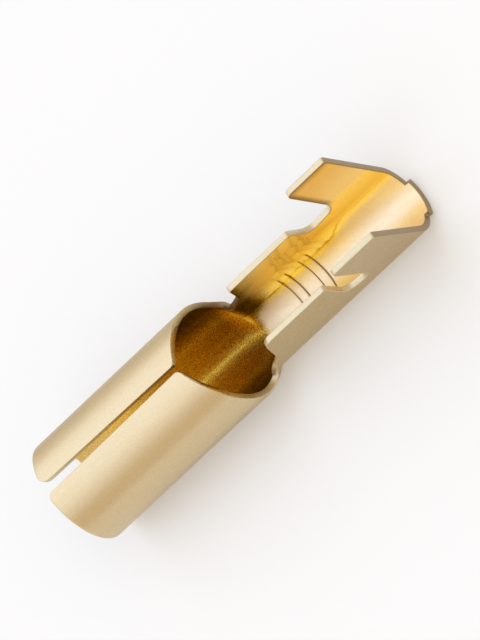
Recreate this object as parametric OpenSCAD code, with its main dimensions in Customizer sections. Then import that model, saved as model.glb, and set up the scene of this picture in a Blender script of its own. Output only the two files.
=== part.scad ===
// Female bullet terminal rolled from one brass blank: a split round socket, a short
// funnel neck and two open crimps. It lies on its back with the open side up.
// X runs from the mouth to the wire end, Z is up, the origin is under the middle.

/* [Sheet] */
// Thickness of the brass strip
sheet = 0.25; // [0.2:0.01:0.32]

/* [Socket] */
// Diameter of the bore that grips the mating pin
bore_d = 4; // [3.6:0.1:5]
// Length of the round socket from the mouth to the neck
socket_len = 8.36; // [7:0.02:12]
// Width of the slight flat under the socket that the part lies on
rest_flat = 0.6; // [0.4:0.05:1]
// Width of the seam at the mouth
seam_mouth = 0.42; // [0.2:0.02:0.8]
// Width of the seam where it meets the window
seam_end = 0.24; // [0.1:0.02:0.6]
// Corner rounding of the two lips at the mouth
lip_round = 0.3; // [0.1:0.05:0.5]
// Corner rounding of the two lips at the window
lip_end_round = 0.18; // [0.06:0.02:0.3]
// Length of plain socket between the end of the seam and the neck
seam_setback = 0.98; // [0.7:0.02:1.6]
// Sideways slant of the socket edge at the window in degrees
edge_slant = 17.7; // [10:0.1:24]
// Backward lean of that edge towards the floor in degrees
edge_lean = 10.4; // [4:0.1:16]

/* [Neck] */
// Length of the neck between the socket and the wire channel
neck_len = 1.12; // [0.9:0.02:2]
// Share of the neck that the rounded shoulder takes
shoulder_share = 0.75; // [0.5:0.05:0.8]

/* [Wire channel] */
// Inner diameter of the channel floor
channel_d = 2.52; // [2.2:0.02:3]
// Height of the window edge above the channel axis at its lowest
window_h = 0.02; // [-0.1:0.01:0.12]
// Distance from the lowest stretch of the window edge to the end of the neck
window_run = 0.22; // [0.1:0.01:0.3]
// Corner rounding at the front of the window
window_round = 0.6; // [0.3:0.05:0.8]
// Corner rounding at the back of the window
window_back_round = 0.3; // [0.1:0.02:0.4]
// Length from the neck to the foot of the conductor wings
throat_len = 0.44; // [0.3:0.02:1]
// Height of that foot above the channel axis
foot_h = 0.43; // [0.3:0.01:0.6]
// Corner rounding in the angle at that foot
foot_round = 0.06; // [0.02:0.01:0.15]

/* [Crimp wings] */
// Length of a conductor wing at its foot
conductor_len = 3.86; // [3.2:0.02:6]
// Height of the conductor wings above the channel axis
conductor_h = 1.92; // [1.4:0.02:2.4]
// Backward rake of the front edge of a conductor wing
conductor_rake = 0.53; // [0.2:0.01:0.8]
// Inward lean of the conductor wings in degrees
conductor_lean = 5; // [1:0.1:8]
// Length of the notch between the two pairs of wings
notch_len = 1.56; // [1.2:0.02:2.4]
// Height of the notch floor above the channel axis
notch_h = 0.46; // [0.35:0.01:0.7]
// Length of an insulation wing
insulation_len = 2.14; // [1.6:0.02:4]
// Height of the insulation wings above the channel axis
insulation_h = 3.6; // [2.8:0.02:4.5]
// Outward lean of the insulation wings in degrees
insulation_lean = 7.2; // [1:0.1:10]
// Inner radius of the bend at the foot of the wings
bend_r = 3; // [2:0.1:5]
// Slope of the back edge of a conductor wing, as a run over its height
conductor_slope = 0.08; // [0:0.01:0.2]
// Corner rounding at the tips of the conductor wings
conductor_round = 0.12; // [0.05:0.01:0.25]
// Corner rounding at the back of an insulation wing
insulation_back_round = 0.12; // [0.05:0.01:0.3]
// Corner rounding at the front of an insulation wing
insulation_round = 0.32; // [0.15:0.01:0.5]

/* [Grip grooves] */
// Distance from the foot of the conductor wings to the first groove
groove_start = 1.25; // [0.6:0.01:1.5]
// Width of each groove
groove_w = 0.41; // [0.2:0.01:0.5]
// Spacing of the two grooves
groove_pitch = 1.14; // [0.7:0.01:1.3]
// Depth of each groove
groove_depth = 0.05; // [0.02:0.01:0.08]

/* [Carrier tab] */
// Width of the cut-off tab at the wire end
tab_w = 1.6; // [1:0.05:2]
// Length of the cut-off tab
tab_len = 0.2; // [0.1:0.02:0.6]

/* [Hidden] */
$fn = 72;
brass = [0.82, 0.68, 0.42];
socket_r = bore_d / 2;
socket_out = socket_r + sheet;
channel_r = channel_d / 2;
channel_out = channel_r + sheet;
neck_end = socket_len + neck_len;
foot_x = neck_end + throat_len;
conductor_end = foot_x + conductor_len;
insulation_x = conductor_end + notch_len;
channel_end = insulation_x + insulation_len;
total_len = channel_end + tab_len;
window_z = channel_out + window_h;
foot_z = channel_out + foot_h;
notch_z = channel_out + notch_h;
conductor_z = channel_out + conductor_h;
insulation_z = channel_out + insulation_h;
bend_z = notch_z + 0.03;
split_x = conductor_end + notch_len / 2;
window_mid = socket_len + 0.66 * neck_len;
seam_x = socket_len - seam_setback;
flat_depth = socket_out - sqrt(socket_out * socket_out - rest_flat * rest_flat / 4);
slant = tan(edge_slant);
lean = tan(edge_lean);
margin = 1;
tall = insulation_z + margin;
shoulder_steps = 8;
root_steps = 5;
neck_turns = 48;
neck_half = 108;
tongue = 0.5;
corner_steps = 8;
bend_steps = 6;

function unit(v) = v / norm(v);
function turned(v, a) = [v.x * cos(a) - v.y * sin(a), v.x * sin(a) + v.y * cos(a)];

// Points of one outline corner, each given as [x, y, rounding]
function corner(a, p, b) =
    p.z == 0 ? [[p.x, p.y]] :
    let (
        at = [p.x, p.y],
        u = unit([a.x, a.y] - at),
        v = unit([b.x, b.y] - at),
        half = acos(u * v) / 2,
        centre = at + unit(u + v) * p.z / sin(half),
        first = at + u * p.z / tan(half) - centre,
        sweep = sign(u.x * v.y - u.y * v.x) * (2 * half - 180)
    )
    [for (i = [0 : corner_steps]) centre + turned(first, sweep * i / corner_steps)];

function rounded(pts) =
    let (n = len(pts))
    [for (i = [0 : n - 1]) each corner(pts[(i + n - 1) % n], pts[i], pts[(i + 1) % n])];

// The neck in section: a shoulder arc that runs into a root arc, both tangent to the axis
neck_drop = socket_out - channel_out;
arc_sum = (neck_len * neck_len + neck_drop * neck_drop) / (2 * neck_drop);
shoulder_r = shoulder_share * arc_sum;
root_r = arc_sum - shoulder_r;
steepest = 2 * atan(neck_drop / neck_len);

// Stations [x, radius, slope] from the socket to the channel
neck_path = concat(
    [
        for (i = [0 : shoulder_steps])
            let (a = steepest * i / shoulder_steps)
            [shoulder_r * sin(a), socket_out - shoulder_r * (1 - cos(a)), -tan(a)]
    ],
    [
        for (i = [root_steps - 1 : -1 : 0])
            let (a = steepest * i / root_steps)
            [neck_len - root_r * sin(a), channel_out + root_r * (1 - cos(a)), -tan(a)]
    ]
);

// One point of the neck at a station, a given depth under its outer skin
function neck_point(at, a, depth) =
    let (normal = unit([-at.z * (1 - cos(a)), sin(a), -cos(a)]))
    [at.x, at.y * sin(a), at.y * (1 - cos(a))] - depth * normal;

module along_x(from, length) {
    translate([from, 0, 0])
        rotate([90, 0, 90])
            linear_extrude(height = length)
                children();
}

module socket() {
    translate([0, 0, socket_out])
        rotate([0, 90, 0])
            rotate_extrude()
                union() {
                    translate([socket_r + sheet / 2, sheet / 2])
                        circle(r = sheet / 2, $fn = 16);
                    translate([socket_r, sheet / 2])
                        square([sheet, socket_len - sheet / 2]);
                }
}

// The neck, with a thin tongue at each end that lies inside the next wall
module neck() {
    first = neck_path[0];
    last = neck_path[len(neck_path) - 1];
    stations = concat(
        [[first.x - tongue, first.y, 0, 0.4 * sheet, 0.6 * sheet]],
        [for (at = neck_path) [at.x, at.y, at.z, -0.006, sheet + 0.003]],
        [[last.x + tongue, last.y, 0, 0.4 * sheet, 0.6 * sheet]]
    );
    steps = len(stations) - 1;
    row = neck_turns + 1;
    count = row * (steps + 1);
    points = [
        for (skin = [3, 4])
            for (at = stations)
                for (j = [0 : neck_turns])
                    neck_point(at, neck_half * (2 * j / neck_turns - 1), at[skin])
    ];
    skins = [
        for (i = [0 : steps - 1])
            for (j = [0 : neck_turns - 1])
                let (p = i * row + j, q = p + row)
                each [
                    [p, q, q + 1],
                    [p, q + 1, p + 1],
                    [count + p, count + q + 1, count + q],
                    [count + p, count + p + 1, count + q + 1]
                ]
    ];
    ends = [
        for (j = [0 : neck_turns - 1])
            let (p = j, q = steps * row + j)
            each [
                [p, p + 1, count + p + 1],
                [p, count + p + 1, count + p],
                [q, count + q + 1, q + 1],
                [q, count + q, count + q + 1]
            ]
    ];
    sides = [
        for (i = [0 : steps - 1])
            let (p = i * row, q = p + row, s = p + neck_turns, t = q + neck_turns)
            each [
                [p, count + p, count + q],
                [p, count + q, q],
                [s, count + t, count + s],
                [s, t, count + t]
            ]
    ];
    translate([socket_len, 0, 0])
        polyhedron(points = points, faces = concat(skins, ends, sides), convexity = 6);
}

// One face of a wall in section: upright to just above the notch, then bent over softly
function wall_face(turn, y, height) =
    let (
        way = turn < 0 ? -1 : 1,
        middle = turn < 0 ? channel_r - bend_r : channel_out + bend_r,
        r = abs(middle - y),
        arc = [
            for (i = [0 : bend_steps])
                let (a = abs(turn) * i / bend_steps)
                [middle - way * r * cos(a), bend_z + r * sin(a)]
        ]
    )
    concat([[y, channel_out]], arc, [arc[bend_steps] + height * [sin(turn), cos(turn)]]);

// Half round floor with a wall on each side
module channel_section(turn, height) {
    outer = wall_face(turn, channel_out, height);
    inner = wall_face(turn, channel_r, height);
    difference() {
        translate([0, channel_out])
            circle(r = channel_out);
        translate([0, channel_out])
            circle(r = channel_r);
        translate([-2 * channel_out, channel_out])
            square([4 * channel_out, 2 * channel_out]);
    }
    for (side = [0, 1])
        mirror([side, 0])
            polygon(concat(outer, [for (k = [len(inner) - 1 : -1 : 0]) inner[k]]));
}

module channel() {
    along_x(neck_end, split_x - neck_end)
        channel_section(-conductor_lean, conductor_h);
    along_x(split_x, channel_end + margin - split_x)
        channel_section(insulation_lean, insulation_h);
}

// Outline of the rolled sheet seen from the side
module outline() {
    polygon(rounded([
        [-margin, -margin, 0],
        [channel_end, -margin, 0],
        [channel_end, insulation_z, insulation_back_round],
        [insulation_x, insulation_z, insulation_round],
        [insulation_x, notch_z, 0.35 * notch_len],
        [conductor_end + conductor_slope, notch_z, 0.27 * notch_len],
        [conductor_end, conductor_z, conductor_round],
        [foot_x + conductor_rake, conductor_z, conductor_round],
        [foot_x, foot_z, foot_round],
        [neck_end - window_run, window_z, window_back_round],
        [window_mid, window_z, 0],
        [window_mid, tall, 0],
        [-margin, tall, 0]
    ]));
}

// Slanted edge of the socket on one side of the window, turned about the end of the seam
module window_edge() {
    squeeze = cos(edge_slant);
    low = squeeze * lean * (2 * socket_out - window_z);
    high = -squeeze * lean * margin;
    back = squeeze * (window_mid + 0.06 - slant * channel_out - seam_x);
    bend = min(window_round, 0.95 * (back - low));
    translate([seam_x, 0, 0])
        rotate([90, 0, edge_slant])
            translate([0, 0, -0.05])
                linear_extrude(height = socket_out + margin)
                    polygon(rounded([
                        [high, 2 * socket_out + margin, 0],
                        [low, window_z, bend],
                        [back, window_z, 0],
                        [back, 2 * socket_out + margin, 0]
                    ]));
}

// The seam in plan, with its rounded lips
module seam() {
    wide = seam_mouth / 2;
    narrow = seam_end / 2;
    flare = 1.5 * lip_round + wide;
    spread = 2.2 * lip_end_round;
    gap = 0.01;
    half = [
        [-margin, flare, 0],
        [-gap, flare, 0],
        [-gap, wide, lip_round],
        [seam_x + slant * narrow + gap, narrow, lip_end_round],
        [seam_x + slant * (narrow + spread) + 2 * gap, narrow + spread, 0]
    ];
    back = [for (i = [4 : -1 : 0]) [half[i].x, -half[i].y, half[i].z]];
    translate([0, 0, socket_out])
        linear_extrude(height = socket_out + margin)
            polygon(rounded(concat(half, back)));
}

module grooves() {
    intersection() {
        for (i = [0, 1])
            translate([foot_x + groove_start + i * groove_pitch, 0, channel_out])
                rotate([0, 90, 0])
                    cylinder(r1 = channel_r + groove_depth, r2 = channel_r + 0.8 * groove_depth, h = groove_w);
        translate([foot_x, -2 * channel_out, 0])
            cube([conductor_len, 4 * channel_out, channel_out - 0.28 * channel_r]);
    }
}

// What is pressed flat along the underside
module underside() {
    translate([-margin, -2 * socket_out, -margin])
        cube([total_len + 2 * margin, 4 * socket_out, margin + flat_depth]);
}

module tab() {
    along_x(channel_end, tab_len)
        intersection() {
            difference() {
                translate([0, channel_out])
                    circle(r = channel_out);
                translate([0, channel_out])
                    circle(r = channel_r);
            }
            translate([-tab_w / 2, -sheet])
                square([tab_w, channel_out]);
        }
}

module terminal() {
    color(brass)
        translate([-total_len / 2, 0, -flat_depth])
            difference() {
                union() {
                    intersection() {
                        union() {
                            socket();
                            neck();
                            channel();
                        }
                        translate([0, 2 * socket_out, 0])
                            rotate([90, 0, 0])
                                linear_extrude(height = 4 * socket_out)
                                    outline();
                    }
                    tab();
                }
                window_edge();
                mirror([0, 1, 0])
                    window_edge();
                seam();
                grooves();
                underside();
            }
}

terminal();
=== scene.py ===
import math

import bmesh
import bpy
from mathutils import Matrix, Vector


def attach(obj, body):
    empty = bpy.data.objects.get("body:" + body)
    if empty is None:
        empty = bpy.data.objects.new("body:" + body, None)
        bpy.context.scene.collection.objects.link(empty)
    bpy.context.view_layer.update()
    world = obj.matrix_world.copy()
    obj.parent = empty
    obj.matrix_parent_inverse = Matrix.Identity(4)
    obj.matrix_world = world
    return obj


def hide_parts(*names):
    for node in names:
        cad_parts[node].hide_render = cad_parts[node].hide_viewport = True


mm = 0.001
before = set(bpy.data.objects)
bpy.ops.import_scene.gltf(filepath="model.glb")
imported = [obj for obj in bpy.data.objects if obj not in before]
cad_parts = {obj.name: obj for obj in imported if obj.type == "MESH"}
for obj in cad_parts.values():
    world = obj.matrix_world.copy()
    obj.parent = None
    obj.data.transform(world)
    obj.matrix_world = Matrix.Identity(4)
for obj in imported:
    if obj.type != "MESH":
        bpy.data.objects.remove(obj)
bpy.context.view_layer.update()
scene = bpy.context.scene


# camera: a long lens, square on to the middle of the frame

cameraSettings = {
    "axisTilt": math.asin(0.42),      # how far the mouth end dips away from the lens
    "roll": math.radians(22.5),       # the part leans back towards its far wing
    "turn": math.atan2(0.6855, 0.728),
    "aim": (2.684, 0.0, 2.23),        # point on the socket axis that the frame is measured from, mm
    "along": 44.6,                    # middle of the frame from that point, pixels along and across
    "across": -13.5,
    "pixel": 0.03689,                 # mm on the part for one pixel
    "frameHeight": 640,               # pixels
    "distance": 0.5,                  # metres
    "sensor": 24,
    "clip": (0.01, 10),
}


def addCamera(c):
    dip, roll = c["axisTilt"], c["roll"]
    towards = Vector((math.sin(dip), -math.cos(dip) * math.sin(roll), math.cos(dip) * math.cos(roll)))
    along = Vector((-math.cos(dip), -math.sin(dip) * math.sin(roll), math.sin(dip) * math.cos(roll)))
    across = Vector((0, -math.cos(roll), -math.sin(roll)))
    right = -math.cos(c["turn"]) * along + math.sin(c["turn"]) * across
    up = -(math.sin(c["turn"]) * along + math.cos(c["turn"]) * across)
    middle = Vector(c["aim"]) + c["pixel"] * (c["along"] * along + c["across"] * across)
    camera = bpy.data.objects.new("camera", bpy.data.cameras.new("camera"))
    camera.matrix_world = Matrix.Translation(middle * mm + towards * c["distance"]) @ Matrix(
        (right, up, towards)).transposed().to_4x4()
    camera.data.sensor_fit = "VERTICAL"
    camera.data.sensor_height = c["sensor"]
    camera.data.lens = c["sensor"] * c["distance"] / (c["frameHeight"] * c["pixel"] * mm)
    camera.data.clip_start, camera.data.clip_end = c["clip"]
    scene.collection.objects.link(camera)
    scene.camera = camera


addCamera(cameraSettings)
print("camera placed")


# terminal: a flat blank is cut, its edges broken, then rolled up
# mm: d is the distance from the mouth, s the distance round the sheet, positive on the far side
# a pair of numbers is the start and the end of a gradual change, tones go from 0 to 1

terminalSettings = {
    "sheet": 0.25,
    "length": 17.68,                  # mouth to end of tab
    "socketOut": 2.25,                # outer radii
    "channelOut": 1.51,
    "socketLen": 8.36,
    "neckLen": 1.12,
    "shoulderShare": 0.75,            # share of the neck's curve that is in its shoulder
    "wallsFrom": 9.0,                 # straight walls stand on the round behind this
    "restDepth": 0.0201,              # flat pressed under the socket
    "conductorHigh": 3.43,            # heights of the conductor wings and of the notch behind them
    "notchHigh": 1.97,
    "tallEdge": 5.78,                 # top of the tall wings, round the sheet
    "wingSplit": 14.56,
    "wingEnd": 17.48,
    "tabHalf": 0.81,
    "bendUp": 2.0,                    # height at which the conductor wings start to lean in
    "bendRadius": 3.0,
    "conductorLean": 5.0,             # degrees
    "insulationLean": 5.8,            # the tall wings lean out straight from the round of the channel
    "lean": (13.9, 15.0),
    "lipRound": 0.125,                # rounding of the mouth edge in section
    "lipThin": 0.25,                  # share of the sheet that is left at the tip of the lip
    "lipSteps": 6,
    "cornerSteps": 6,
    "edgeBreak": 0.03,                # rounding of all cut edges
    "breakSteps": 3,
    "skin": 0.001,                    # a point this near to a face of the sheet is on it
    "outerSkin": (0, 0.1),            # shares of the depth of the sheet
    "innerSkin": (0.9, 1),
    "cutSnap": 1e-5,
    "cutsAlong": ((0.3, 7.0, 0.4), (7.0, 8.3, 0.13), (8.3, 9.6, 0.05), (9.6, 11.0, 0.1), (11.0, 13.8, 0.05),
                  (13.8, 15.7, 0.06), (15.7, 17.3, 0.25), (17.3, 17.66, 0.06)),     # from, to, step
    "cutsRound": ((0.07, 1.2, 0.14), (1.2, 1.8, 0.04), (1.8, 3.5, 0.05), (3.5, 6.6, 0.14)),
    # per side: neckRim, flank, skirt, throatRise and the neck-corner strength set painted shade
    "farSide": {
        "mouthCorner": 0.5, "neckHigh": 1.53, "wingCorner": 0.12, "notchEnd": 15.34,
        "neckRim": 0.4, "flank": 1.0, "flankTop": (4.8, 5.9), "skirt": 0.0,
        "throatRise": 1.1, "paintedShadeBands": 0.45},
    "nearSide": {
        "mouthCorner": 0.3, "neckHigh": 1.22, "wingCorner": 0.33, "notchEnd": 15.1,
        "neckRim": -0.35, "flank": 0.3, "flankTop": (4.1, 5.0), "skirt": 0.8,
        "throatRise": 0.3, "paintedShadeBands": 0.15},
    # the scored edges of the grooves are darkened with painted shade
    "groove": {
        "at": (11.17, 12.31),
        "width": 0.41,
        "depth": 0.05,                # at the scored edges, with a shallower floor between them
        "floor": 0.006,
        "soft": 0.05,
        "scoreFront": 0.06,           # width of the two scored edges
        "scoreRear": 0.10,
        "reach": 1.22,                # radians either side of the floor
        "fade": 0.12,
        "burr": 0.015,                # metal pushed up at the ends
        "burrReach": 0.3},
    # a real crease at the foot of the walls, darkened with painted shade and with the bore's painted shade
    "crease": {
        "foot": 1.34,                 # where it starts round the sheet, and how much higher it ends
        "rise": 0.36,
        "climb": (13.8, 14.8),
        "width": 0.07,
        "depth": 0.008,
        "tone": 0.3,
        "faint": 0.6,
        "start": (9.9, 10.4),
        "plain": (12.7, 13.3),
        "end": (14.2, 15.0)},
    # shallow dents on one conductor wing, darkened with painted shade along each line
    "scratch": {
        "lines": ((12.67, 2.94, 12.21, 1.71), (12.44, 3.37, 11.9, 2.21), (13.58, 2.54, 13.17, 1.7)),
        "width": 0.075,
        "depth": 0.006,
        "tone": 0.35,
        "taper": 0.8},
    # painted reflection: the walls are painted deep gold above their foot, standing in for the gold the
    # brass reflects between its walls, lighter towards the top of the tall wings
    "wall": {
        "gold": (0.72, 0.98),         # radians up the wall
        "rise": 0.2,                  # how much higher the gold starts between the tall wings
        "climb": (13.5, 15),
        "pale": (2.8, 3.4),           # the tall wings are paler above this
        "paleShare": 0.45},
    # painted shade: the bore, the throat and the foot of the walls near the neck are painted dark
    "bore": {
        "throat": 9.15,               # where the dark tone gives way on the floor
        "fade": 0.5,
        "foot": (0.68, 1.08),         # radians between which it reaches further on the walls
        "top": (1.4, 1.8),
        "mouthShare": 0.5,
        "full": (2, 6)},
    # painted shade on the outside of the wings, on the flanks of the socket and on the inner face near the
    # mouth
    "paintedShadeAreas": {
        "neck": (8.4, 9.6),
        "wings": (0.7, 1.4),          # radians up the wall
        "flankFoot": (1.0, 3.0),
        "skirtFoot": (0.6, 1.6),
        "skirtTop": (2.6, 3.5),
        "skirtAlong": (2, 8),
        "skirtShare": 0.3,
        "lining": 0.15,               # painted shade on the inner face towards the mouth
        "liningEnd": (1.5, 4.5)},
    # painted shade: the corner where the neck meets the walls, and bands along the top and front of the tall
    # wings
    "paintedShadeBands": {
        "foot": (0.65, 1.05),         # dark corner of the neck, radians up the wall and along
        "top": (1.4, 1.8),
        "start": (8.8, 9.25),
        "end": (9.8, 10.4),
        "topBand": 0.4,               # along the top of the tall wings
        "topBandEdges": (5.3, 5.7),
        "frontBand": 0.75,            # along their front, from the cut edge
        "frontBandEdges": (0.06, 0.36),
        "frontBandFoot": (2.9, 3.4)},
    # painted shade on the cut edges: brown round the window, deepening towards the inner face, the bore's
    # painted shade there too, and dark on the sheared end
    "rim": {
        "windowStart": (7.2, 7.6),
        "windowEnd": (9.9, 10.2),
        "tone": 0.25,                 # at the outer face, and what the depth of the sheet adds
        "toneInward": 0.5,
        "darkest": 0.95,
        "neck": (8.3, 8.8),
        "gold": 0.7,                  # the edge takes the bore's painted shade round the window
        "goldShare": 0.5,
        "goldEnd": (8.3, 8.7),
        "tabBand": 0.23,
        "tabTone": 0.6,
        "corner": 0.85,               # painted shade along the inner corner of the cut edges
        "cornerStart": (7.0, 7.5)},
}


def ease(x, start, end):
    x = min(1, max(0, (x - start) / (end - start)))
    return x * x * (3 - 2 * x)


def between(x, start, end):
    return ease(x, *start) * (1 - ease(x, *end))


def sideOf(t, s):
    return t["farSide"] if s > 0 else t["nearSide"]


def turnAt(t, s):
    # radians up the wall of the channel
    return abs(s) / (t["channelOut"] - t["sheet"] / 2)


def outerRadius(t, d):
    # radius and slope of the outside: two arcs make the neck
    drop = t["socketOut"] - t["channelOut"]
    arcs = (t["neckLen"] ** 2 + drop ** 2) / (2 * drop)
    shoulder = t["shoulderShare"] * arcs
    root = arcs - shoulder
    steep = 2 * math.atan(drop / t["neckLen"])
    x = d - t["socketLen"]
    if x <= 0:
        return t["socketOut"], 0.0
    if x >= t["neckLen"]:
        return t["channelOut"], 0.0
    if x <= shoulder * math.sin(steep):
        side = math.sqrt(shoulder ** 2 - x ** 2)
        return t["socketOut"] - shoulder + side, -x / side
    back = t["neckLen"] - x
    side = math.sqrt(root ** 2 - back ** 2)
    return t["channelOut"] + root - side, -back / side


def roundTo(t, d, height):
    # distance round the sheet from the bottom line to a height on its outside
    r, _ = outerRadius(t, d)
    mid = r - t["sheet"] / 2
    if height <= r or d < t["wallsFrom"]:
        return mid * math.acos(1 - height / r)
    return mid * math.pi / 2 + height - r


def rolled(t, d, s, depth):
    # place of a point of the flat blank once the sheet is rolled
    r, slope = outerRadius(t, d)
    mid = r - t["sheet"] / 2
    flare = math.radians(t["insulationLean"]) * ease(d, *t["lean"])
    top = math.pi / 2 - flare
    rise = abs(s) - mid * top
    if d < t["wallsFrom"] or rise <= 0:
        a = abs(s) / mid
        skin = Vector((d, r * math.sin(a), r * (1 - math.cos(a))))
        out = Vector((-slope * (1 - math.cos(a)), math.sin(a), -math.cos(a))).normalized()
    elif flare:
        y = r * math.sin(top) + rise * math.cos(top)
        z = r * (1 - math.cos(top)) + rise * math.sin(top)
        skin = Vector((d, y, z))
        out = Vector((0, math.sin(top), -math.cos(top)))
    else:
        straight = t["bendUp"] - r
        bendMid = t["bendRadius"] + t["sheet"] / 2
        bendOut = bendMid + t["sheet"] / 2
        over = max(0, rise - straight)
        a = min(over / bendMid, math.radians(t["conductorLean"]))
        rest = over - a * bendMid
        y = r - bendOut * (1 - math.cos(a)) - rest * math.sin(a)
        z = r + min(rise, straight) + bendOut * math.sin(a) + rest * math.cos(a)
        skin = Vector((d, y, z))
        out = Vector((0, math.cos(a), math.sin(a)))
    place = skin - depth * out
    if s < 0:
        place.y = -place.y
    return place


def halfOutline(t, side):
    # half of the flat blank: d, s and how far the corner slides along its sides when it is rounded
    def upTo(d, height, slide):
        return d, roundTo(t, d, height), slide

    return [
        (0.0, 6.466, side["mouthCorner"]),
        (7.42, 6.556, 0.17),
        (8.02, 5.007, 0),
        (8.52, 3.338, 0.5),
        upTo(8.75, side["neckHigh"] + 0.05, 0.3),
        upTo(9.26, side["neckHigh"], 0.15),
        upTo(9.92, 1.94, 0.06),
        upTo(10.45, t["conductorHigh"], side["wingCorner"]),
        upTo(13.78, t["conductorHigh"], 0.12),
        upTo(13.86, t["notchHigh"], 0.40),
        upTo(side["notchEnd"], t["notchHigh"], 0.53),
        (side["notchEnd"], t["tallEdge"], 0.32),
        (t["wingEnd"], t["tallEdge"], 0.12),
        (t["wingEnd"], t["tabHalf"], 0),
        (t["length"], t["tabHalf"], 0.06),
    ]


def cutBlank(t):
    bm = bmesh.new()
    ring = halfOutline(t, t["farSide"])
    ring += [(d, -s, slide) for d, s, slide in reversed(halfOutline(t, t["nearSide"]))]
    corners = [(bm.verts.new((d, s, 0)), slide) for d, s, slide in ring]
    bm.faces.new([v for v, slide in corners])
    for v, slide in corners:
        if slide:
            bmesh.ops.bevel(bm, geom=[v], offset=slide, offset_type="ABSOLUTE", segments=t["cornerSteps"],
                            profile=0.5, affect="VERTICES", material=-1, clamp_overlap=False)
    sheet = bmesh.ops.extrude_face_region(bm, geom=bm.faces[:])
    bmesh.ops.translate(bm, verts=[g for g in sheet["geom"] if isinstance(g, bmesh.types.BMVert)],
                        vec=(0, 0, t["sheet"]))
    bmesh.ops.recalc_face_normals(bm, faces=bm.faces[:])
    rim = [e for e in bm.edges if abs(e.verts[0].co.z - e.verts[1].co.z) < t["skin"]]
    bmesh.ops.bevel(bm, geom=rim, offset=t["edgeBreak"], offset_type="OFFSET", segments=t["breakSteps"],
                    profile=0.5, affect="EDGES", material=-1, clamp_overlap=False)
    return bm


def sliceAt(t, bm, place, normal):
    bmesh.ops.bisect_plane(bm, geom=bm.verts[:] + bm.edges[:] + bm.faces[:], dist=t["cutSnap"],
                           plane_co=place * Vector(normal), plane_no=normal)


def spread(start, end, step):
    count = max(1, round((end - start) / step))
    return [start + (end - start) * k / count for k in range(count)]


def sliceBlank(t, bm):
    # fine strips, so that the sheet can bend
    groove, steps = t["groove"], t["lipSteps"]
    along = [t["lipRound"] * (1 - math.cos(math.pi / 2 * k / steps)) for k in range(1, steps + 1)]
    for start, end, step in t["cutsAlong"]:
        along += spread(start, end, step)
    for front in groove["at"]:
        for edge, width in ((front, groove["scoreFront"]), (front + groove["width"], groove["scoreRear"])):
            along += [edge - width / 2, edge, edge + width / 2]
    for d in sorted(along):
        sliceAt(t, bm, d, (1, 0, 0))
    for start, end, step in t["cutsRound"]:
        for s in spread(start, end, step):
            sliceAt(t, bm, s, (0, 1, 0))
            sliceAt(t, bm, -s, (0, 1, 0))


def insideTones(t, d, s, depth):
    # how much of the inner face (painted paler), of the painted gold reflection on the walls and of the
    # painted shade of the bore is here
    wall, bore, turn = t["wall"], t["bore"], turnAt(t, s)
    inner = ease(depth / t["sheet"], *t["innerSkin"])
    gold = ease(turn - wall["rise"] * ease(d, *wall["climb"]), *wall["gold"])
    if d > t["wingSplit"]:
        gold *= 1 - wall["paleShare"] * ease(abs(s), *wall["pale"])
    throat = bore["throat"] + sideOf(t, s)["throatRise"] * between(turn, bore["foot"], bore["top"])
    dark = 1 - ease(d, throat, throat + bore["fade"])
    dark *= bore["mouthShare"] + (1 - bore["mouthShare"]) * ease(d, *bore["full"])
    return inner, inner * gold * (1 - dark), inner * dark


def outsideTone(t, d, s, depth):
    # painted shade: the outside of the wings, the flanks of the socket and the inner face near the mouth are
    # darkened, standing in for the shadowed floor they reflect
    paintedShadeAreas, side = t["paintedShadeAreas"], sideOf(t, s)
    outer = 1 - ease(depth / t["sheet"], *t["outerSkin"])
    flank = side["flank"] * between(abs(s), paintedShadeAreas["flankFoot"], side["flankTop"])
    skirt = paintedShadeAreas["skirtShare"] + (1 - paintedShadeAreas["skirtShare"]) * ease(d, *paintedShadeAreas["skirtAlong"])
    flank += side["skirt"] * skirt * between(abs(s), paintedShadeAreas["skirtFoot"], paintedShadeAreas["skirtTop"])
    back = ease(d, *paintedShadeAreas["neck"])
    lining = paintedShadeAreas["lining"] * (1 - outer) * (1 - ease(d, *paintedShadeAreas["liningEnd"]))
    return outer * (back * ease(turnAt(t, s), *paintedShadeAreas["wings"]) + (1 - back) * flank) + lining


def paintedShadeBandsAt(t, d, s):
    # painted shade in the corner where the neck meets the channel walls, and along the top and front of the
    # tall wings
    paintedShadeBands, side = t["paintedShadeBands"], sideOf(t, s)
    if d > t["wingSplit"]:
        front = 1 - ease(d - side["notchEnd"], *paintedShadeBands["frontBandEdges"])
        return max(paintedShadeBands["topBand"] * ease(abs(s), *paintedShadeBands["topBandEdges"]),
                   paintedShadeBands["frontBand"] * front * ease(abs(s), *paintedShadeBands["frontBandFoot"]))
    corner = between(turnAt(t, s), paintedShadeBands["foot"], paintedShadeBands["top"])
    return side["paintedShadeBands"] * corner * between(d, paintedShadeBands["start"], paintedShadeBands["end"])


def grooveAt(t, d, s):
    # how deep the grip grooves are here, and how much painted shade darkens their scored edges
    groove, soft = t["groove"], t["groove"]["soft"]
    past = turnAt(t, s) - groove["reach"]
    for front in groove["at"]:
        rear = front + groove["width"]
        within = between(d, (front - soft, front + soft), (rear - soft, rear + soft))
        if 0 <= past < groove["burrReach"] and within:
            return -groove["burr"] * within * math.sin(math.pi * past / groove["burrReach"]), 0
        if past < 0:
            fade = 1 - ease(past, -groove["fade"], 0)
            score = max(0, 1 - 2 * abs(d - front) / groove["scoreFront"],
                        1 - 2 * abs(d - rear) / groove["scoreRear"])
            if score or within:
                return fade * max(groove["floor"] * within, groove["depth"] * score), fade * score
    return 0, 0


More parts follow.
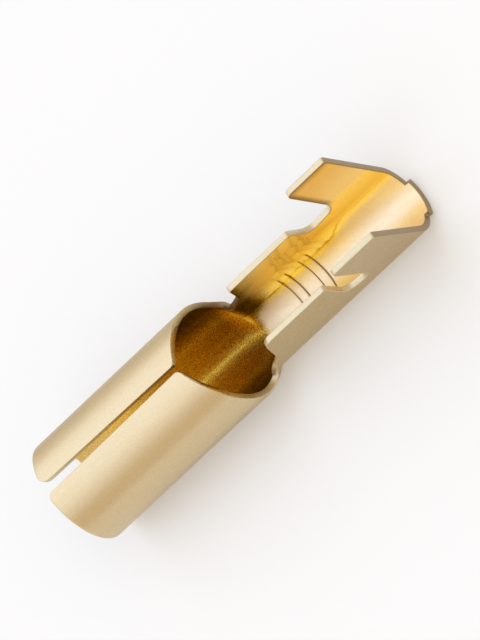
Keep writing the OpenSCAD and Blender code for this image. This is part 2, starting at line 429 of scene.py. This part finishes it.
def creaseAt(t, d, s):
    # a sharp crease along the foot of the walls, darkened with painted shade, plainest between the two pairs
    # of wings
    crease = t["crease"]
    line = crease["foot"] + crease["rise"] * ease(d, *crease["climb"])
    near = max(0, 1 - abs(abs(s) - line) / crease["width"])
    plain = crease["faint"] + (1 - crease["faint"]) * ease(d, *crease["plain"])
    return crease["depth"] * near, near * plain * between(d, crease["start"], crease["end"])


def scratchAt(t, d, s):
    # light handling marks on one conductor wing: shallow dents with painted shade along each line, fading
    # towards its end
    scratch, deepest = t["scratch"], 0
    for d0, s0, d1, s1 in scratch["lines"]:
        line = Vector((d1 - d0, s1 - s0))
        at = Vector((d - d0, s - s0))
        share = min(1, max(0, at.dot(line) / line.length_squared))
        near = max(0, 1 - (at - share * line).length / scratch["width"])
        deepest = max(deepest, near * (1 - scratch["taper"] * share))
    return scratch["depth"] * deepest, scratch["tone"] * deepest


def rimTones(t, d, s, depth):
    # cut edges are painted dark at the sheared end, and painted brown and given the bore's painted shade
    # round the window
    rim = t["rim"]
    if d > t["length"] - rim["tabBand"]:
        return rim["tabTone"], 0
    window = between(d, rim["windowStart"], rim["windowEnd"])
    brown = rim["tone"] + rim["toneInward"] * depth / t["sheet"]
    brown += sideOf(t, s)["neckRim"] * ease(d, *rim["neck"])
    return window * min(rim["darkest"], max(0, brown)), window * (1 - ease(d, *rim["goldEnd"]))


def innerCorners(t, bm):
    # points of the inner face that border a cut edge
    top = t["sheet"] - t["skin"]
    return {v for v in bm.verts if v.co.z > top and any(c.co.z < top for f in v.link_faces for c in f.verts)}


def rollUp(t, bm):
    layers = bm.verts.layers.float
    inside, paintedGold, bore = layers.new("inside"), layers.new("paintedGold"), layers.new("bore")
    paintedShade, edge, paintedDark = layers.new("paintedShade"), layers.new("edge"), layers.new("paintedDark")
    corners = innerCorners(t, bm)
    rim, lip, thin, middle = t["rim"], t["lipRound"], t["lipThin"], t["sheet"] / 2
    for v in bm.verts:
        d, s, depth = v.co
        v[inside], v[paintedGold], v[bore] = insideTones(t, d, s, depth)
        v[paintedShade] = outsideTone(t, d, s, depth)
        if min(depth, t["sheet"] - depth) > t["skin"]:
            # painted shade on the cut edges
            v[paintedDark], gold = rimTones(t, d, s, depth)
            v[bore] = rim["gold"] * gold
            v[edge] = 1 - rim["goldShare"] * gold
        elif depth > middle:
            groove, score = grooveAt(t, d, s)
            crease, fold = creaseAt(t, d, s)
            scratch, brown = scratchAt(t, d, s)
            # painted shade: the inner corners next to cut edges
            corner = rim["corner"] * ease(d, *rim["cornerStart"]) if v in corners else 0
            # the crease takes the bore's painted shade as well
            v[bore] = max(v[bore], fold)
            # painted shade along groove edges, crease, dents, neck corner, wing bands and inner corners
            v[paintedDark] = max(score, t["crease"]["tone"] * fold, brown, paintedShadeBandsAt(t, d, s), corner)
            depth -= groove + crease + scratch
        if d < lip:
            # the mouth edge is rounded over in section
            full = math.sqrt(max(0, 1 - ((lip - d) / lip) ** 2))
            depth = middle + (depth - middle) * (thin + (1 - thin) * full)
        place = rolled(t, d, s, depth)
        place.z = max(place.z, t["restDepth"])
        v.co = mm * (place - Vector((t["length"] / 2, 0, t["restDepth"])))


def buildTerminal(t):
    bm = cutBlank(t)
    print("blank cut", len(bm.verts), "points")
    sliceBlank(t, bm)
    rollUp(t, bm)
    bmesh.ops.recalc_face_normals(bm, faces=bm.faces[:])
    for f in bm.faces:
        f.smooth = True
    mesh = bpy.data.meshes.new("terminal_sheet")
    bm.to_mesh(mesh)
    bm.free()
    piece = bpy.data.objects.new("terminal_sheet", mesh)
    scene.collection.objects.link(piece)
    shade = piece.modifiers.new("shade", "WEIGHTED_NORMAL")
    shade.keep_sharp = True
    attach(piece, "root")
    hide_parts("terminal")
    print("terminal rolled", len(mesh.polygons), "faces")
    return piece


terminal = buildTerminal(terminalSettings)


# brass: pale rolled strip with a fine grain, and a colour for each marked place: the cut edges in their own
# colour, the rest painted light and shade

brassSettings = {
    "pale": (0.705, 0.565, 0.355, 1),
    "warm": (0.68, 0.535, 0.32, 1),
    # painted light: the inner face is painted paler and brighter than the outside brass
    "lining": (0.95, 0.785, 0.56, 1),
    # painted reflection: deep gold on the walls of the channel
    "deep": (1.0, 0.76, 0.18, 1),
    # painted shade: dark in the bore
    "dark": (0.735, 0.495, 0.068, 1),
    # painted shade on the outside of the wings and the flanks
    "paintedShade": (0.52, 0.39, 0.20, 1),
    "cut": (0.68, 0.57, 0.38, 1),
    # painted shade: dark brown along the groove edges, the crease, the dents, the neck corner, the wing
    # bands and the cut edges
    "paintedDarkBrown": (0.13, 0.06, 0.01, 1),
    "places": (("inside", "lining"), ("paintedGold", "deep"), ("bore", "dark"), ("paintedShade", "paintedShade"),
               ("edge", "cut"), ("paintedDark", "paintedDarkBrown")),
    "patches": (420, 3),              # scale and detail of each noise
    "grain": (5200, 4),
    "speckle": (22000, 2),
    "grainStretch": (0.18, 1, 1),     # the grain runs along the strip
    "grainEdges": (0.3, 0.7),
    "speckleEdges": (0.35, 0.65),
    "speckleDepth": 0.38,
    "flecks": 0.13,                   # share of the speckle on plain metal, and what places with painted shade add
    "shadeFlecks": 0.2,
    "rough": (0.25, 0.33),
    "roughPlaces": (("paintedShade", 0.1), ("inside", 0.19), ("paintedGold", -0.26), ("bore", -0.25), ("edge", 0.12)),
    "bumpStrength": 0.05,
    "bumpHeight": 0.00002,            # metres
}


def addBrass(b):
    material = bpy.data.materials.new("satin_brass")
    material.use_nodes = True
    nodes, links = material.node_tree.nodes, material.node_tree.links
    shader = nodes["Principled BSDF"]
    shader.inputs["Metallic"].default_value = 1
    coords = nodes.new("ShaderNodeTexCoord")

    def noise(kind, vector):
        node = nodes.new("ShaderNodeTexNoise")
        node.inputs["Scale"].default_value, node.inputs["Detail"].default_value = b[kind]
        links.new(vector, node.inputs["Vector"])
        return node.outputs["Fac"]

    def mix(factor, under, over):
        node = nodes.new("ShaderNodeMix")
        node.data_type = "RGBA"
        links.new(factor, node.inputs["Factor"])
        if isinstance(under, tuple):
            node.inputs["A"].default_value = under
        else:
            links.new(under, node.inputs["A"])
        node.inputs["B"].default_value = over
        return node.outputs["Result"]

    def mark(place):
        node = nodes.new("ShaderNodeAttribute")
        node.attribute_name = place
        return node.outputs["Fac"]

    def remap(value, source, target):
        node = nodes.new("ShaderNodeMapRange")
        node.inputs["From Min"].default_value, node.inputs["From Max"].default_value = source
        node.inputs["To Min"].default_value, node.inputs["To Max"].default_value = target
        links.new(value, node.inputs["Value"])
        return node.outputs["Result"]

    def shift(value, place, more):
        node = nodes.new("ShaderNodeMath")
        node.operation = "MULTIPLY_ADD"
        node.inputs[1].default_value = more
        links.new(mark(place), node.inputs[0])
        links.new(value, node.inputs[2])
        return node.outputs[0]

    stretch = nodes.new("ShaderNodeMapping")
    stretch.inputs["Scale"].default_value = b["grainStretch"]
    links.new(coords.outputs["Object"], stretch.inputs["Vector"])
    grain = noise("grain", stretch.outputs["Vector"])
    speckle = noise("speckle", coords.outputs["Object"])

    colour = mix(noise("patches", coords.outputs["Object"]), b["pale"], b["warm"])
    for place, finish in b["places"]:
        colour = mix(mark(place), colour, b[finish])
    flecks = nodes.new("ShaderNodeMix")
    flecks.data_type = "RGBA"
    flecks.blend_type = "MULTIPLY"
    share = shift(remap(mark("bore"), (0, 1), (b["flecks"], 1)), "paintedShade", b["shadeFlecks"])
    links.new(share, flecks.inputs["Factor"])
    links.new(colour, flecks.inputs["A"])
    deep = b["speckleDepth"]
    links.new(remap(speckle, b["speckleEdges"], (1 - deep, 1 + deep)), flecks.inputs["B"])
    links.new(flecks.outputs["Result"], shader.inputs["Base Color"])

    rough = remap(grain, b["grainEdges"], b["rough"])
    for place, more in b["roughPlaces"]:
        rough = shift(rough, place, more)
    links.new(rough, shader.inputs["Roughness"])
    bump = nodes.new("ShaderNodeBump")
    bump.inputs["Strength"].default_value = b["bumpStrength"]
    bump.inputs["Distance"].default_value = b["bumpHeight"]
    links.new(grain, bump.inputs["Height"])
    links.new(bump.outputs["Normal"], shader.inputs["Normal"])
    return material


terminal.data.materials.append(addBrass(brassSettings))
print("brass assigned")


# stage: white paper floor, and a sky dome that is brighter and cooler on one side

stageSettings = {
    "floor": (0.72, 0.71, 0.695, 1),
    "floorSize": 1.5,
    "floorRough": 0.9,
    "floorGlow": (1, 1, 1, 1),
    "floorLift": 0.2,                 # glow for the rays that see the floor directly
    "dimSky": (0.81, 0.695, 0.53, 1),
    "brightSky": (1.34, 1.44, 1.63, 1),
    "brightSide": (-0.48, 0.32, 0.815),
    "skyEdges": (0.2, 0.95),
}


def seenDirect(nodes, links):
    # 1 for the rays that should meet a white background
    path = nodes.new("ShaderNodeLightPath")
    first = nodes.new("ShaderNodeMath")
    first.operation = "MAXIMUM"
    links.new(path.outputs["Is Camera Ray"], first.inputs[0])
    links.new(path.outputs["Is Transmission Ray"], first.inputs[1])
    both = nodes.new("ShaderNodeMath")
    both.operation = "MAXIMUM"
    links.new(first.outputs[0], both.inputs[0])
    links.new(path.outputs["Is Glossy Ray"], both.inputs[1])
    return both.outputs[0]


def addFloor(st):
    mesh = bpy.data.meshes.new("floor")
    bm = bmesh.new()
    bmesh.ops.create_grid(bm, x_segments=1, y_segments=1, size=st["floorSize"])
    bm.to_mesh(mesh)
    bm.free()
    floor = bpy.data.objects.new("floor", mesh)
    scene.collection.objects.link(floor)
    paper = bpy.data.materials.new("white_paper")
    paper.use_nodes = True
    nodes, links = paper.node_tree.nodes, paper.node_tree.links
    shader = nodes["Principled BSDF"]
    shader.inputs["Base Color"].default_value = st["floor"]
    shader.inputs["Roughness"].default_value = st["floorRough"]
    shader.inputs["Emission Color"].default_value = st["floorGlow"]
    lift = nodes.new("ShaderNodeMath")
    lift.operation = "MULTIPLY"
    lift.inputs[1].default_value = st["floorLift"]
    links.new(seenDirect(nodes, links), lift.inputs[0])
    links.new(lift.outputs[0], shader.inputs["Emission Strength"])
    mesh.materials.append(paper)


def addSky(st):
    world = bpy.data.worlds.new("studio")
    scene.world = world
    world.use_nodes = True
    nodes, links = world.node_tree.nodes, world.node_tree.links
    back = nodes["Background"]
    coords = nodes.new("ShaderNodeTexCoord")
    side = nodes.new("ShaderNodeVectorMath")
    side.operation = "DOT_PRODUCT"
    side.inputs[1].default_value = Vector(st["brightSide"]).normalized()
    links.new(coords.outputs["Generated"], side.inputs[0])
    soft = nodes.new("ShaderNodeMapRange")
    soft.interpolation_type = "SMOOTHSTEP"
    soft.inputs["From Min"].default_value, soft.inputs["From Max"].default_value = st["skyEdges"]
    links.new(side.outputs["Value"], soft.inputs["Value"])
    dome = nodes.new("ShaderNodeMix")
    dome.data_type = "RGBA"
    dome.inputs["A"].default_value = st["dimSky"]
    dome.inputs["B"].default_value = st["brightSky"]
    links.new(soft.outputs["Result"], dome.inputs["Factor"])
    links.new(dome.outputs["Result"], back.inputs["Color"])


addFloor(stageSettings)
addSky(stageSettings)
print("stage set")

scene.view_settings.view_transform = "Standard"
